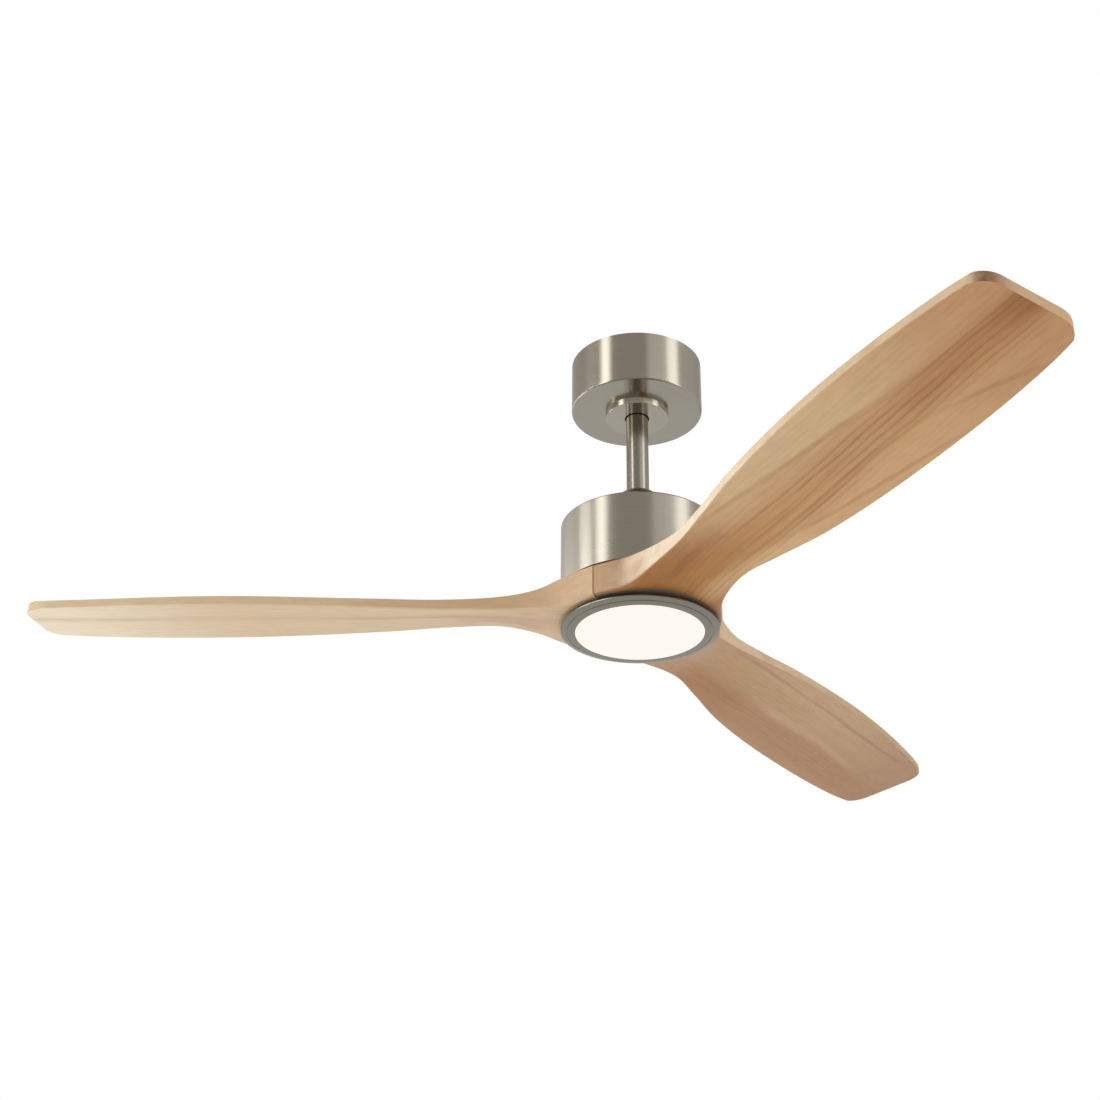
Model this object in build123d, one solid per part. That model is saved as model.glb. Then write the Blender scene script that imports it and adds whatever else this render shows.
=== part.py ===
from build123d import *
from math import cos, radians, sin, sqrt, tan
import os

# Ceiling fan with light, hung on a short rod: a metal canopy and motor housing in line,
# three carved wooden blades meeting round a hub, and a flat round light under the hub.
# Millimetres. The ceiling is the plane z = 0, the fan's axis is Z, and all of it hangs below.

# Clearances shared by the whole assembly
SLIP = 0.1                 # screw or pin in its hole, sleeve on its rod
RUNNING = 0.05             # bearing on the fixed shaft
SEAT_GAP = 0.3             # hanger ball in its seat
SWAY_GAP = 1.2             # rod in the canopy cover, all round

# Canopy against the ceiling, and the cover that hides its screws
CANOPY_R = 75.0
CANOPY_H = 61.5
CANOPY_WALL = 1.0
CANOPY_EDGE_R = 1.8
CANOPY_CEILING_GAP = 1.0
CANOPY_COVER_R = 36.0
CANOPY_COVER_H = 7.5
CANOPY_COVER_WALL = 1.0
CANOPY_HOLE_GAP = 5.0      # rod in the canopy's own hole

# Pressed steel bracket that the ceiling screws hold
SHEET = 2.5
BRACKET_INSET = 14.0       # bracket's ends inside the canopy wall
BRACKET_HALF_WIDTH = 26.0
LEG_HALF_WIDTH = 20.0
SLOT_INSET = 19.0          # slot centre from the bracket's end
SLOT_LENGTH = 22.0
SLOT_WIDTH = 6.5
WIRE_HOLE_R = 14.0
SEAT_UPPER_ANGLE = 28.0    # band of the ball's seat, below the ball's equator
SEAT_LOWER_ANGLE = 50.0
KEY_WIDTH = 5.0            # lug that stops the ball from turning
KEY_DEPTH = 3.5
KEY_GAP = 1.0

# Boxes inside the canopy
RECEIVER_HALF_LENGTH = 26.0
RECEIVER_H = 24.0
RECEIVER_WALL_GAP = 12.0
TERMINAL_HALF_LENGTH = 16.0
TERMINAL_DEPTH = 13.0
TERMINAL_H = 14.0
BOX_BALL_GAP = 2.0

# Hanger ball and rod
BALL_R = 24.0
BALL_DROP = 36.0           # ball centre below the ceiling
BALL_TOP = 15.0            # flat top above the ball's centre
BALL_BOTTOM = 19.0         # flat bottom below it
ROD_R = 12.7
ROD_WALL = 2.0
ROD_LENGTH = 182.0
ROD_ABOVE_PIN = 8.0
PIN_R = 3.0
BALL_SCREW_R = 2.5
BALL_SCREW_DROP = 4.0      # set screw below the ball's centre

# Yoke that joins the rod to the motor shaft
YOKE_WALL = 6.3
YOKE_SOCKET = 20.0         # rod inside the yoke
YOKE_SHAFT_SOCKET = 18.0   # shaft inside the yoke
YOKE_PIN_RISE = 12.0       # cross pin above the rod's end
YOKE_FLANGE_W = 11.0
YOKE_FLANGE_T = 6.0
YOKE_SCREW_R = 2.5
YOKE_SCREW_RISE = 15.5
PIN_OVERHANG = 4.0         # cross pin beyond the yoke, each side
PIN_HEAD_R = 4.5
PIN_HEAD_H = 2.0
CLIP_T = 1.0

# Bell-shaped cover over the yoke
COUPLING_H = 44.6
COUPLING_TOP_GAP = 1.0     # rod in the cover's top
COUPLING_BELLY_GAP = 3.0   # over the cross pin's ends
COUPLING_BASE_GAP = 6.0    # round the yoke's flange
COUPLING_WALL = 1.2

# Motor housing
HOUSING_R = 86.5
HOUSING_H = 80.6
HOUSING_WALL = 1.2
HOUSING_EDGE_R = 2.0
HOUSING_SCREW_R = 2.0
FLANGE_SCREW_TURN = 15.0   # housing and lamp board screws, clear of the yoke's own screws

# Motor: the shaft and the wound core stand still, the covers and magnets turn round them
SHAFT_R = 8.5
SHAFT_BORE_R = 5.0
SHAFT_SHOULDER = 1.5
SHAFT_THREAD_STEP = 1.0
SHAFT_ROD_GAP = 1.0
BEARING_R = 20.0
BEARING_W = 12.0
BEARING_RING_W = 3.5
BEARING_END_GAP = 0.3
BOSS_WALL = 5.0
BOSS_LIP_T = 2.0
BOSS_LIP_GAP = 3.5
ROTOR_SIDE_GAP = 3.3
ROTOR_H = 62.0
ROTOR_PLATE_T = 5.0
ROTOR_SKIRT_T = 4.0
ROTOR_RIM_W = 10.0
ROTOR_RIM_T = 4.0
ROTOR_RIM_INSET = 3.0
ROTOR_SCREW_R = 2.0
MAGNET_T = 3.5
AIR_GAP = 0.7
STACK_H = 30.0
STATOR_TEETH = 12
TOOTH_W = 11.0
TOOTH_SHOE_T = 3.0
SHOE_GAP_ANGLE = 6.0
STATOR_RING_R = 26.0
COIL_T = 3.0
CIRCLIP_T = 1.5
CIRCLIP_W = 2.5
CIRCLIP_DEPTH = 0.8

# Wooden blades, carved from planks, with roots that share the hub in thirds
BLADE_COUNT = 3
FIRST_BLADE_ANGLE = 180.0
ROOT_GAP = 2.9             # wood under the housing's rim
GASKET_T = 1.0
PLANK_T = 35.5
HUB_OVERHANG = 3.5         # hub beyond the housing
HUB_INNER_R = 56.0
SEAM_TURN = 3.0            # seams turned from midway between the blades, towards the trailing side
SEAM_HALF_GAP = 0.65
# Stations along a blade: distance from the axis, leading and trailing half widths, pitch, thickness
BLADE_STATIONS = (
    (110.0, 48.0, 44.5, 7.5, 23.6),
    (150.0, 42.6, 39.6, 12.3, 15.4),
    (205.0, 48.7, 45.4, 13.9, 12.0),
    (280.0, 60.8, 56.4, 12.7, 10.7),
    (440.0, 72.5, 64.3, 10.2, 10.0),
    (605.0, 65.5, 55.4, 10.5, 10.2),
    (672.0, 55.6, 46.0, 10.6, 10.2),
)
# The same in the root: lengths as shares of the hub's radius, thickness as a share of the plank's
ROOT_STATIONS = (
    (0.70, 0.738, 0.742, 0.3, 1.000),
    (0.81, 0.665, 0.668, 1.0, 0.980),
    (0.955, 0.610, 0.588, 2.4, 0.903),
)
SECTION_STEP = 10.0        # spacing of the carved sections along the blade
TIP_R = 659.0              # tip cut, square across the blade
TIP_LEADING_R = 24.0       # corners of the tip, seen from above
TIP_TRAILING_R = 28.0
TIP_EASE = 2.5             # angle at which the corner rounds leave the blade's edges
HUB_EDGE_R = 6.5           # lower edge of the wood at the hub, easing out to the blade's edges
BLADE_EDGE_R = 2.2
BLADE_SCREW_R = 3.0
BLADE_SCREW_ANGLE = 36.0   # outer screws from the middle of the root
BLADE_COUNTERBORE_R = 7.0
BLADE_COUNTERBORE_DEPTH = 9.0
WASHER_T = 1.2

# Light under the hub
LIGHT_GAP = 4.6            # under the turning wood
PAN_T = 1.0
DISH_GAP = 5.0             # dish inside the hub's opening
DISH_H = 15.0
DISH_SLOPE = 4.0           # lean of the dish's side
TRIM_CROWN = 2.9
TRIM_WALL = 1.2
TRIM_OVERHANG = 2.2        # ring beyond the pan
TRIM_SHELF = 4.0           # ring's flat back under the pan's edge
BEZEL_W = 16.0
TRIM_BULGE = 0.7           # how far the bezel's face stands out
TRIM_LIP_T = 1.6           # lip that holds the diffuser
BEZEL_GROOVE_SHARE = 0.45  # groove's place across the bezel, from its outer edge
BEZEL_GROOVE_W = 0.8
BEZEL_GROOVE_DEPTH = 0.5
DIFFUSER_T = 1.5
DIFFUSER_LIP = 2.5
LED_BOARD_T = 1.5
LED_BOARD_INSET = 1.5
LED_SIDE = 4.0
LED_H = 1.0
LED_ROWS = ((0.58, 8), (0.86, 16))   # share of the board's radius, number of lamps
LIGHT_SCREW_R = 1.5
NUT_R = 14.0
NUT_H = 7.0
DRIVER_SIZE = (46.0, 22.0, 11.0)
DRIVER_SHAFT_GAP = 5.0

# Screw heads, as shares of the shank
HEAD_R = 1.9
HEAD_H = 1.1

# Heights, worked down from the ceiling
canopy_top = -CANOPY_CEILING_GAP
canopy_bottom = canopy_top - CANOPY_H
canopy_floor = canopy_bottom + CANOPY_WALL
ball_z = -BALL_DROP
pin_z = ball_z + BALL_TOP
rod_top = pin_z + ROD_ABOVE_PIN
rod_bottom = rod_top - ROD_LENGTH
yoke_pin_z = rod_bottom + YOKE_PIN_RISE
housing_top = rod_bottom - YOKE_SHAFT_SOCKET
housing_bottom = housing_top - HOUSING_H
wood_top = housing_bottom - ROOT_GAP
wood_bottom = wood_top - PLANK_T
flange_bottom = wood_top + GASKET_T
flange_top = flange_bottom + ROTOR_PLATE_T
rotor_top = flange_bottom + ROTOR_H
plate_bottom = rotor_top - ROTOR_PLATE_T
upper_bearing_top = plate_bottom + BEARING_W
lower_bearing_bottom = flange_top - BEARING_W
boss_bottom = lower_bearing_bottom - BOSS_LIP_T
stack_middle = (plate_bottom + flange_top) / 2
pan_top = wood_bottom - LIGHT_GAP
pan_bottom = pan_top - PAN_T
dish_top = pan_top + DISH_H
dish_ceiling = dish_top - PAN_T
nut_bottom = dish_ceiling - NUT_H
shaft_bottom = nut_bottom - SLIP
trim_shelf_z = pan_bottom - SLIP
trim_edge = trim_shelf_z - TRIM_WALL
trim_bottom = trim_edge - TRIM_CROWN

# Radii that follow from the ones above
canopy_inner_r = CANOPY_R - CANOPY_WALL
canopy_hole_r = ROD_R + CANOPY_HOLE_GAP
canopy_screw_r = (canopy_hole_r + CANOPY_COVER_R) / 2
canopy_screw_shank = 2.0
bracket_half = canopy_inner_r - BRACKET_INSET
slot_x = bracket_half - SLOT_INSET
seat_angle = (SEAT_UPPER_ANGLE + SEAT_LOWER_ANGLE) / 2
key_root_r = BALL_R * cos(radians(seat_angle)) - KEY_DEPTH
yoke_r = ROD_R + YOKE_WALL
yoke_flange_r = yoke_r + YOKE_FLANGE_W
pin_half = yoke_r + PIN_OVERHANG
coupling_base_r = yoke_flange_r + COUPLING_BASE_GAP
coupling_belly_r = pin_half + COUPLING_BELLY_GAP + COUPLING_WALL
housing_inner_r = HOUSING_R - HOUSING_WALL
housing_screw_circle = (yoke_r + yoke_flange_r) / 2
flange_r = housing_inner_r - ROTOR_SIDE_GAP
rim_r = flange_r - ROTOR_RIM_INSET
skirt_r = rim_r - ROTOR_RIM_W
rotor_screw_circle = (rim_r + skirt_r) / 2
magnet_r = skirt_r - ROTOR_SKIRT_T
stator_r = magnet_r - MAGNET_T - AIR_GAP
shaft_mid_r = SHAFT_R + SHAFT_SHOULDER
thread_r = SHAFT_R - SHAFT_THREAD_STEP
boss_r = BEARING_R + BOSS_WALL
lip_hole_r = SHAFT_R + BOSS_LIP_GAP
hub_r = HOUSING_R + HUB_OVERHANG
blade_screw_circle = (HUB_INNER_R + flange_r) / 2
dish_r = HUB_INNER_R - DISH_GAP
trim_r = HOUSING_R
pan_r = trim_r - TRIM_OVERHANG
bezel_inner_r = trim_r - BEZEL_W
led_board_r = dish_r - DISH_SLOPE - PAN_T - LED_BOARD_INSET
blade_angles = [FIRST_BLADE_ANGLE + turn * 360 / BLADE_COUNT for turn in range(BLADE_COUNT)]
sector = 360 / BLADE_COUNT
leading_seam = sector / 2 + SEAM_TURN
trailing_seam = sector / 2 - SEAM_TURN


def disc(radius, top, bottom):
    """Upright cylinder on the fan's axis between two heights."""
    return Pos(0, 0, bottom) * Cylinder(radius, top - bottom, align=(Align.CENTER, Align.CENTER, Align.MIN))


def tube(outer, inner, top, bottom):
    """Upright ring on the fan's axis between two heights."""
    return disc(outer, top, bottom) - disc(inner, top, bottom)


def turned(*corners):
    """Solid of revolution about the fan's axis, from the corners of its half section as (radius, height)."""
    outline = Polyline([(radius, 0, height) for radius, height in corners], close=True)
    return revolve(make_face(outline), Axis.Z)


def block(low, high):
    """Box between two opposite corners."""
    size = [b - a for a, b in zip(low, high)]
    middle = [(a + b) / 2 for a, b in zip(low, high)]
    return Pos(*middle) * Box(*size)


def polar(radius, angle, height=0.0):
    """Point at a radius and an angle about the fan's axis."""
    return (radius * cos(radians(angle)), radius * sin(radians(angle)), height)


def cross_rod(radius, start, end, height, along_y=False):
    """Level rod through the fan's axis, along X or along Y."""
    rod = Rot(0, 90, 0) * Cylinder(radius, end - start)
    return Rot(0, 0, 90 if along_y else 0) * Pos((start + end) / 2, 0, height) * rod


def screw(shank, length):
    """Screw standing on z = 0 with its head below and its shank up."""
    head = Cylinder(shank * HEAD_R, shank * HEAD_H, align=(Align.CENTER, Align.CENTER, Align.MAX))
    stem = Cylinder(shank, length, align=(Align.CENTER, Align.CENTER, Align.MIN))
    return head + stem


def repeated(shape, places):
    """One node made of copies of a solid at several places."""
    return Compound([Pos(*place) * shape for place in places])


def drilled(shape, radius, places, top, bottom):
    """Shape with upright holes at several places."""
    drill = disc(radius, top, bottom)
    for x, y, _ in places:
        shape -= Pos(x, y, 0) * drill
    return shape


# Screw places
canopy_screw_places = [polar(canopy_screw_r, angle, canopy_bottom) for angle in (0, 180)]
housing_screw_places = [
    polar(housing_screw_circle, angle + sector / 2 - FLANGE_SCREW_TURN, housing_top - HOUSING_WALL) for angle in blade_angles
]
root_middles = [angle - SEAM_TURN for angle in blade_angles]
blade_screw_angles = [
    middle + step * BLADE_SCREW_ANGLE for middle in root_middles for step in (-1, 0, 1)
]
counterbore_top = wood_bottom + BLADE_COUNTERBORE_DEPTH
blade_screw_places = [polar(blade_screw_circle, angle, counterbore_top) for angle in blade_screw_angles]
rotor_screw_angles = [
    middle + step * BLADE_SCREW_ANGLE / 2 for middle in root_middles for step in (-1, 1)
]
rotor_screw_places = [polar(rotor_screw_circle, angle) for angle in rotor_screw_angles]
light_screw_circle = (NUT_R + led_board_r * LED_ROWS[0][0]) / 2
light_screw_places = [
    polar(light_screw_circle, angle + FLANGE_SCREW_TURN, dish_ceiling - LED_BOARD_T) for angle in blade_angles
]


def mounting_bracket():
    """Folded strap: plate on the ceiling, two legs, a dished saddle for the ball and two feet for the canopy."""
    plate = block((-bracket_half, -BRACKET_HALF_WIDTH, -SHEET), (bracket_half, BRACKET_HALF_WIDTH, 0))
    plate = fillet(plate.edges().filter_by(Axis.Z), BRACKET_HALF_WIDTH - LEG_HALF_WIDTH)
    slot = extrude(SlotOverall(SLOT_LENGTH, SLOT_WIDTH), -SHEET)
    plate -= [Pos(side * slot_x, 0, 0) * slot for side in (-1, 1)]
    plate -= disc(WIRE_HOLE_R, 0, -SHEET)
    saddle_z = ball_z - BALL_R * sin(radians(seat_angle))
    bracket = plate + block(
        (-bracket_half, -LEG_HALF_WIDTH, saddle_z - SHEET / 2), (bracket_half, LEG_HALF_WIDTH, saddle_z + SHEET / 2)
    )
    foot_inner = canopy_screw_r - (CANOPY_COVER_R - canopy_screw_r)
    for side in (-1, 1):
        leg = sorted((side * (bracket_half - SHEET), side * bracket_half))
        foot = sorted((side * foot_inner, side * bracket_half))
        bracket += block((leg[0], -LEG_HALF_WIDTH, canopy_floor), (leg[1], LEG_HALF_WIDTH, 0))
        bracket += block((foot[0], -LEG_HALF_WIDTH / 2, canopy_floor), (foot[1], LEG_HALF_WIDTH / 2, canopy_floor + SHEET))
    seat_inner = BALL_R + SEAT_GAP
    seat_outer = seat_inner + SHEET
    band = [
        (radius * cos(radians(angle)), ball_z - radius * sin(radians(angle)))
        for radius, angle in (
            (seat_inner, SEAT_UPPER_ANGLE),
            (seat_outer, SEAT_UPPER_ANGLE),
            (seat_outer, SEAT_LOWER_ANGLE),
            (seat_inner, SEAT_LOWER_ANGLE),
        )
    ]
    bracket += turned(*band)
    bracket -= Pos(0, 0, ball_z) * Sphere(seat_inner)
    notch = ROD_R + SWAY_GAP
    bracket -= block((-notch, -2 * BALL_R, canopy_floor + SHEET), (notch, 0, ball_z))
    key_tip = key_root_r + KEY_GAP
    bracket += block((-KEY_WIDTH / 2, key_tip, saddle_z - SHEET / 2), (KEY_WIDTH / 2, BALL_R, saddle_z + SHEET / 2))
    return drilled(bracket, canopy_screw_shank + SLIP, canopy_screw_places, canopy_floor + SHEET, canopy_floor)


def canopy():
    """Spun cup with its floor downwards, open to the ceiling."""
    cup = disc(CANOPY_R, canopy_top, canopy_bottom)
    cup = fillet(cup.faces().sort_by(Axis.Z)[0].edges(), CANOPY_EDGE_R)
    hollow = disc(canopy_inner_r, canopy_top, canopy_floor)
    hollow = fillet(hollow.faces().sort_by(Axis.Z)[0].edges(), CANOPY_EDGE_R - CANOPY_WALL / 2)
    cup -= hollow
    cup -= disc(canopy_hole_r, canopy_floor, canopy_bottom)
    return drilled(cup, canopy_screw_shank + SLIP, canopy_screw_places, canopy_floor, canopy_bottom)


def canopy_cover():
    """Shallow cap under the canopy that hides its screws and its hole."""
    cover_bottom = canopy_bottom - CANOPY_COVER_H
    cover_floor = cover_bottom + CANOPY_COVER_WALL
    cap = disc(CANOPY_COVER_R, canopy_bottom, cover_bottom)
    cap -= disc(CANOPY_COVER_R - CANOPY_COVER_WALL, canopy_bottom, cover_floor)
    cap -= disc(ROD_R + SWAY_GAP, cover_floor, cover_bottom)
    return chamfer(cap.faces().sort_by(Axis.Z)[0].edges(), CANOPY_COVER_WALL / 3)


def receiver_box():
    """Plastic box of the remote receiver and motor drive, hung under the bracket's plate beside the ball."""
    near = BALL_R - BOX_BALL_GAP
    far = sqrt((canopy_inner_r - RECEIVER_WALL_GAP) ** 2 - RECEIVER_HALF_LENGTH ** 2)
    low = (-RECEIVER_HALF_LENGTH, near, -SHEET - RECEIVER_H)
    box = block(low, (RECEIVER_HALF_LENGTH, far, -SHEET))
    box = fillet(box.edges().filter_by(Axis.Z), BOX_BALL_GAP)
    return box - Pos(0, 0, ball_z) * Sphere(BALL_R + BOX_BALL_GAP)


def terminal_block():
    """Screw terminals for the house wires, under the bracket's plate on the other side of the ball."""
    near = -BALL_R + BOX_BALL_GAP
    low = (-TERMINAL_HALF_LENGTH, near - TERMINAL_DEPTH, -SHEET - TERMINAL_H)
    body = block(low, (TERMINAL_HALF_LENGTH, near, -SHEET))
    ways = 3
    pitch = 2 * TERMINAL_HALF_LENGTH / ways
    way = Rot(90, 0, 0) * Cylinder(pitch / 4, TERMINAL_DEPTH)
    for way_number in range(ways):
        x = (way_number - (ways - 1) / 2) * pitch
        body -= Pos(x, low[1] + TERMINAL_DEPTH / 4, -SHEET - TERMINAL_H / 2) * way
    return body - Pos(0, 0, ball_z) * Sphere(BALL_R + BOX_BALL_GAP)


def hanger_ball():
    """Ball that hangs the rod in the bracket, flat at both ends, with a cross groove for the pin and a keyway."""
    ball = Pos(0, 0, ball_z) * Sphere(BALL_R)
    ball &= disc(BALL_R, ball_z + BALL_TOP, ball_z - BALL_BOTTOM)
    ball -= disc(ROD_R + SLIP, ball_z + BALL_TOP, ball_z - BALL_BOTTOM)
    ball -= cross_rod(PIN_R + SLIP, -BALL_R, BALL_R, pin_z)
    keyway = KEY_WIDTH / 2 + KEY_GAP
    ball -= block((-keyway, key_root_r, ball_z - BALL_R), (keyway, BALL_R, ball_z))
    return ball - cross_rod(BALL_SCREW_R + SLIP, -BALL_R, 0, ball_z - BALL_SCREW_DROP)


def hanger_pin():
    """Steel pin through the rod's top, lying in the ball's groove."""
    half = sqrt(BALL_R ** 2 - BALL_TOP ** 2) - PIN_R / 2
    pin = cross_rod(PIN_R, -half, half, pin_z)
    return chamfer(pin.edges().filter_by(GeomType.CIRCLE), PIN_R / 6)


def ball_set_screw():
    """Headless screw that clamps the ball on the rod."""
    outer = sqrt(BALL_R ** 2 - BALL_SCREW_DROP ** 2) - BALL_SCREW_R / 2
    return cross_rod(BALL_SCREW_R, -outer, -ROD_R - SLIP, ball_z - BALL_SCREW_DROP)


def downrod():
    """Steel tube from the ball to the yoke, cross drilled for its two pins."""
    rod = tube(ROD_R, ROD_R - ROD_WALL, rod_top, rod_bottom)
    rod -= cross_rod(PIN_R + SLIP, -ROD_R, ROD_R, pin_z)
    return rod - cross_rod(PIN_R + SLIP, -ROD_R, ROD_R, yoke_pin_z)


def yoke():
    """Cast sleeve that holds the rod above and the motor shaft below, on a flange over the housing."""
    top = rod_bottom + YOKE_SOCKET
    body = disc(yoke_r, top, housing_top) + disc(yoke_flange_r, housing_top + YOKE_FLANGE_T, housing_top)
    root = body.edges().filter_by(GeomType.CIRCLE).filter_by(lambda edge: abs(edge.radius - yoke_r) < SLIP)
    body = fillet(root.sort_by(Axis.Z)[0], YOKE_FLANGE_T / 2)
    body -= disc(ROD_R + SLIP, top, rod_bottom)
    body -= disc(SHAFT_R + SLIP, rod_bottom, housing_top)
    body -= cross_rod(PIN_R + SLIP, -yoke_r, yoke_r, yoke_pin_z)
    body -= cross_rod(YOKE_SCREW_R + SLIP, -yoke_r, yoke_r, rod_bottom + YOKE_SCREW_RISE, along_y=True)
    return drilled(body, HOUSING_SCREW_R + SLIP, housing_screw_places, housing_top + YOKE_FLANGE_T, housing_top)


def clip_groove_x():
    """Middle of the groove near the plain end of the yoke's pin."""
    return pin_half - PIN_OVERHANG / 2


def yoke_pin():
    """Headed pin through the yoke and the rod, grooved at its end for the clip."""
    pin = cross_rod(PIN_R, -pin_half, pin_half, yoke_pin_z)
    pin += cross_rod(PIN_HEAD_R, -pin_half, -pin_half + PIN_HEAD_H, yoke_pin_z)
    groove = cross_rod(PIN_R, clip_groove_x() - CLIP_T / 2 - SLIP, clip_groove_x() + CLIP_T / 2 + SLIP, yoke_pin_z)
    groove -= cross_rod(PIN_R * 0.75, -pin_half, pin_half, yoke_pin_z)
    return pin - groove


def yoke_pin_clip():
    """Open spring clip in the pin's groove."""
    start = clip_groove_x() - CLIP_T / 2
    end = clip_groove_x() + CLIP_T / 2
    clip = cross_rod(PIN_HEAD_R, start, end, yoke_pin_z)
    clip -= cross_rod(PIN_R * 0.75 + SLIP, start, end, yoke_pin_z)
    mouth = PIN_R * 0.6
    return clip - block((start, -mouth, yoke_pin_z - PIN_HEAD_R), (end, mouth, yoke_pin_z))


def yoke_set_screws():
    """Two headless screws that stop the rod rattling in the yoke."""
    height = rod_bottom + YOKE_SCREW_RISE
    near = cross_rod(YOKE_SCREW_R, -yoke_r, -ROD_R - SLIP, height, along_y=True)
    far = cross_rod(YOKE_SCREW_R, ROD_R + SLIP, yoke_r, height, along_y=True)
    return Compound([near, far])


def coupling_cover():
    """Spun bell that stands on the housing and hides the yoke."""
    top = housing_top + COUPLING_H
    top_r = ROD_R + COUPLING_TOP_GAP
    belly_z = yoke_pin_z + PIN_HEAD_R
    outer = ThreePointArc((top_r, 0, top), (coupling_belly_r, 0, belly_z), (coupling_base_r, 0, housing_top))
    inner = ThreePointArc(
        (top_r, 0, top - COUPLING_WALL * 1.6),
        (coupling_belly_r - COUPLING_WALL, 0, belly_z - COUPLING_WALL / 2),
        (coupling_base_r - COUPLING_WALL, 0, housing_top),
    )
    rim = Line(outer @ 1, inner @ 1)
    mouth = Line(inner @ 0, outer @ 0)
    return revolve(make_face([outer, rim, inner, mouth]), Axis.Z)


def motor_housing():
    """Spun can with a flat top, open below."""
    can = disc(HOUSING_R, housing_top, housing_bottom)
    can = fillet(can.faces().sort_by(Axis.Z)[-1].edges(), HOUSING_EDGE_R)
    hollow = disc(housing_inner_r, housing_top - HOUSING_WALL, housing_bottom)
    hollow = fillet(hollow.faces().sort_by(Axis.Z)[-1].edges(), HOUSING_EDGE_R - HOUSING_WALL / 2)
    can -= hollow
    can -= disc(SHAFT_R + SLIP, housing_top, housing_top - HOUSING_WALL)
    return drilled(can, HOUSING_SCREW_R + SLIP, housing_screw_places, housing_top, housing_top - HOUSING_WALL)


def motor_shaft():
    """Hollow fixed shaft: plain ends for the bearings, a thicker middle for the core, a thread for the light."""
    top = rod_bottom - SHAFT_ROD_GAP
    upper_shoulder = plate_bottom - BEARING_END_GAP
    lower_shoulder = flange_top + BEARING_END_GAP
    groove_top = lower_bearing_bottom - BEARING_END_GAP
    shaft = disc(SHAFT_R, top, dish_top)
    shaft += disc(shaft_mid_r, upper_shoulder, lower_shoulder)
    shaft += disc(thread_r, dish_top, shaft_bottom)
    shaft -= tube(SHAFT_R, SHAFT_R - CIRCLIP_DEPTH, groove_top, groove_top - CIRCLIP_T)
    return shaft - disc(SHAFT_BORE_R, top, shaft_bottom)


def stator_core():
    """Stack of steel sheets with wound teeth that end in curved shoes."""
    low = stack_middle - STACK_H / 2
    high = stack_middle + STACK_H / 2
    core = disc(STATOR_RING_R, high, low)
    tooth = block((0, -TOOTH_W / 2, low), (stator_r - TOOTH_SHOE_T / 2, TOOTH_W / 2, high))
    for number in range(STATOR_TEETH):
        core += Rot(0, 0, number * 360 / STATOR_TEETH) * tooth
    shoes = tube(stator_r, stator_r - TOOTH_SHOE_T, high, low)
    gap_half = stator_r * tan(radians(SHOE_GAP_ANGLE / 2))
    gap = block((stator_r - 2 * TOOTH_SHOE_T, -gap_half, low), (stator_r + TOOTH_SHOE_T, gap_half, high))
    for number in range(STATOR_TEETH):
        shoes -= Rot(0, 0, (number + 0.5) * 360 / STATOR_TEETH) * gap
    return core + shoes - disc(shaft_mid_r + SLIP, high, low)


def stator_coils():
    """Copper windings, one round each tooth."""
    inner = STATOR_RING_R * 1.12
    half_w = TOOTH_W / 2 + SLIP
    half_h = STACK_H / 2 + SLIP
    coil_t = min(COIL_T, inner * tan(radians(180 / STATOR_TEETH)) - half_w - SLIP)
    outer = sqrt((stator_r - TOOTH_SHOE_T) ** 2 - (half_w + coil_t) ** 2) - SLIP
    winding = block((inner, -half_w - coil_t, stack_middle - half_h - coil_t),
                    (outer, half_w + coil_t, stack_middle + half_h + coil_t))
    winding = fillet(winding.edges().filter_by(Axis.X), coil_t * 0.9)
    winding -= block((0, -half_w, stack_middle - half_h), (stator_r, half_w, stack_middle + half_h))
    turns = [Rot(0, 0, number * 360 / STATOR_TEETH) * winding for number in range(STATOR_TEETH)]
    return Compound(turns)


def bearing(top):
    """Ball bearing as one ring, with its two races standing proud of the shields between them."""
    ring = tube(BEARING_R, SHAFT_R + RUNNING, top, top - BEARING_W)
    recess = tube(BEARING_R - BEARING_RING_W, SHAFT_R + BEARING_RING_W, top, top - BEARING_RING_W / 5)
    ring -= recess
    return ring - Pos(0, 0, BEARING_RING_W / 5 - BEARING_W) * recess


def rotor_top_cover():
    """Cast cup over the magnets, with a bearing boss on top and a screw rim below."""
    body = turned(
        (lip_hole_r, upper_bearing_top + BOSS_LIP_T),
        (boss_r, upper_bearing_top + BOSS_LIP_T),
        (boss_r, rotor_top),
        (skirt_r, rotor_top),
        (skirt_r, flange_top + ROTOR_RIM_T),
        (rim_r, flange_top + ROTOR_RIM_T),
        (rim_r, flange_top),
        (magnet_r, flange_top),
        (magnet_r, plate_bottom),
        (BEARING_R + SLIP / 2, plate_bottom),
        (BEARING_R + SLIP / 2, upper_bearing_top),
        (lip_hole_r, upper_bearing_top),
    )
    return drilled(body, ROTOR_SCREW_R + SLIP, rotor_screw_places, flange_top + ROTOR_RIM_T, flange_top)


def rotor_bottom_cover():
    """Cast plate under the magnets that carries the blades, with a bearing boss below."""
    body = turned(
        (BEARING_R + SLIP / 2, flange_top),
        (flange_r, flange_top),
        (flange_r, flange_bottom),
        (boss_r, flange_bottom),
        (boss_r, boss_bottom),
        (lip_hole_r, boss_bottom),
        (lip_hole_r, lower_bearing_bottom),
        (BEARING_R + SLIP / 2, lower_bearing_bottom),
    )
    body = drilled(body, ROTOR_SCREW_R + SLIP, rotor_screw_places, flange_top, flange_bottom)
    return drilled(body, BLADE_SCREW_R + SLIP, blade_screw_places, flange_top, flange_bottom)


def rotor_screws():
    """Screws that hold the two rotor covers together, heads up."""
    one = Rot(180, 0, 0) * screw(ROTOR_SCREW_R, ROTOR_RIM_T + ROTOR_PLATE_T)
    return repeated(one, [(x, y, flange_top + ROTOR_RIM_T) for x, y, _ in rotor_screw_places])


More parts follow.
